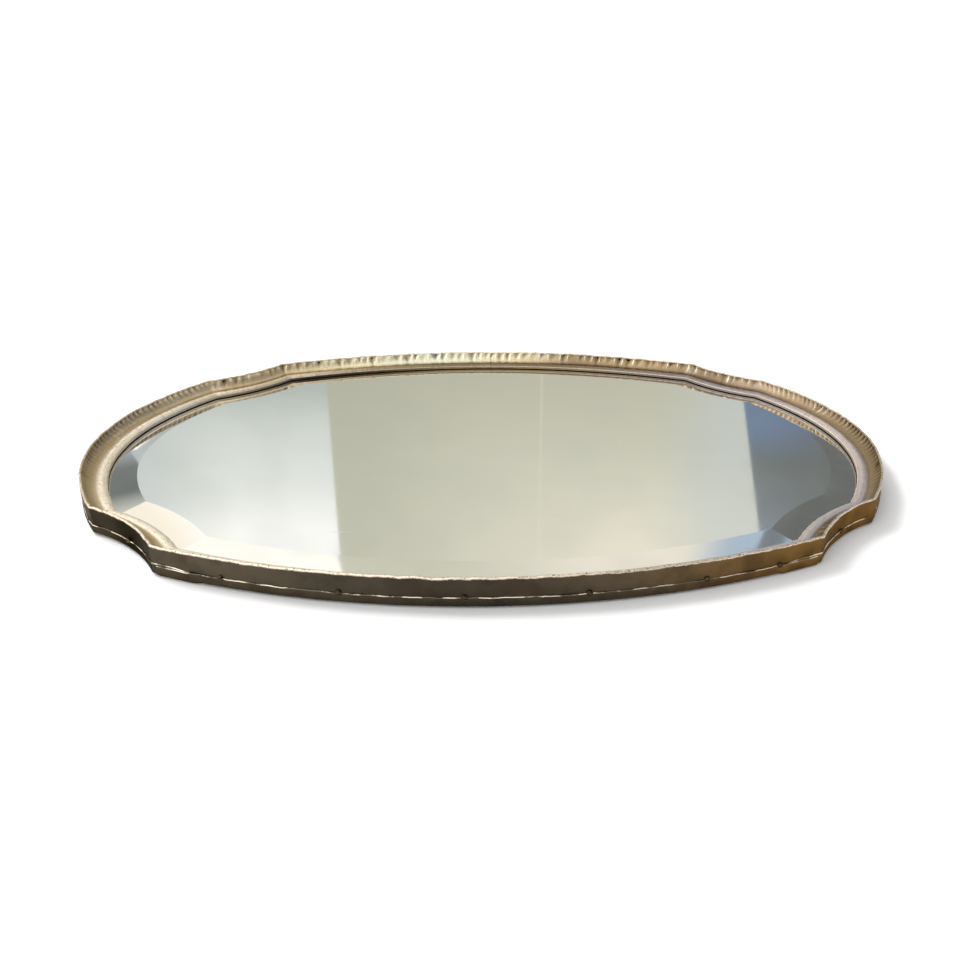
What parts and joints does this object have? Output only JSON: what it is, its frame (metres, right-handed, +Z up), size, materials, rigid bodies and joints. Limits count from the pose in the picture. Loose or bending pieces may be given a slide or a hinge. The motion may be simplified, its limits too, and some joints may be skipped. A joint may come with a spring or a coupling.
{
  "type": "mirrored vanity tray",
  "caption": "Low mirrored dresser tray: a bevelled mirror in a brass-clad rim, oval with hollowed corners.",
  "frame": {"origin": "centre of the base, on the plane that the felt pads stand on", "axes": "+X along the length, +Y from the front to the back, +Z up out of the mirror"},
  "size_m": [0.4346, 0.2952, 0.0145],
  "materials": {
    "mirror": "bevelled, silvered behind, lightly scratched",
    "rim_brass": "worn champagne brass sheet, stippled and fluted by hand",
    "strip_brass": "darkened brass strip with bright rubbed edges",
    "pin_brass": "darkened brass, polished on the crowns",
    "core_wood": "bare sawn softwood",
    "panel_board": "brown hardboard",
    "card": "grey-brown backing card",
    "screw_steel": "plain steel",
    "felt": "dark felt"
  },
  "bodies": {
    "root": {"mirror_plate": "mirror", "backing_card": "card", "base_panel": "panel_board", "base_screws": "screw_steel", "side_pins": "pin_brass", "core_rail_front": "core_wood", "core_rail_back": "core_wood", "core_end_left": "core_wood", "core_end_right": "core_wood", "core_corner_front_left": "core_wood", "core_corner_front_right": "core_wood", "core_corner_back_left": "core_wood", "core_corner_back_right": "core_wood", "rim_sheet_front": "rim_brass", "rim_sheet_back_left": "rim_brass", "rim_sheet_back_right": "rim_brass", "side_strip_front": "strip_brass", "side_strip_back": "strip_brass", "side_strip_left": "strip_brass", "side_strip_right": "strip_brass", "felt_pad_front_left": "felt", "felt_pad_front_right": "felt", "felt_pad_back_left": "felt", "felt_pad_back_right": "felt"}
  },
  "joints": []
}
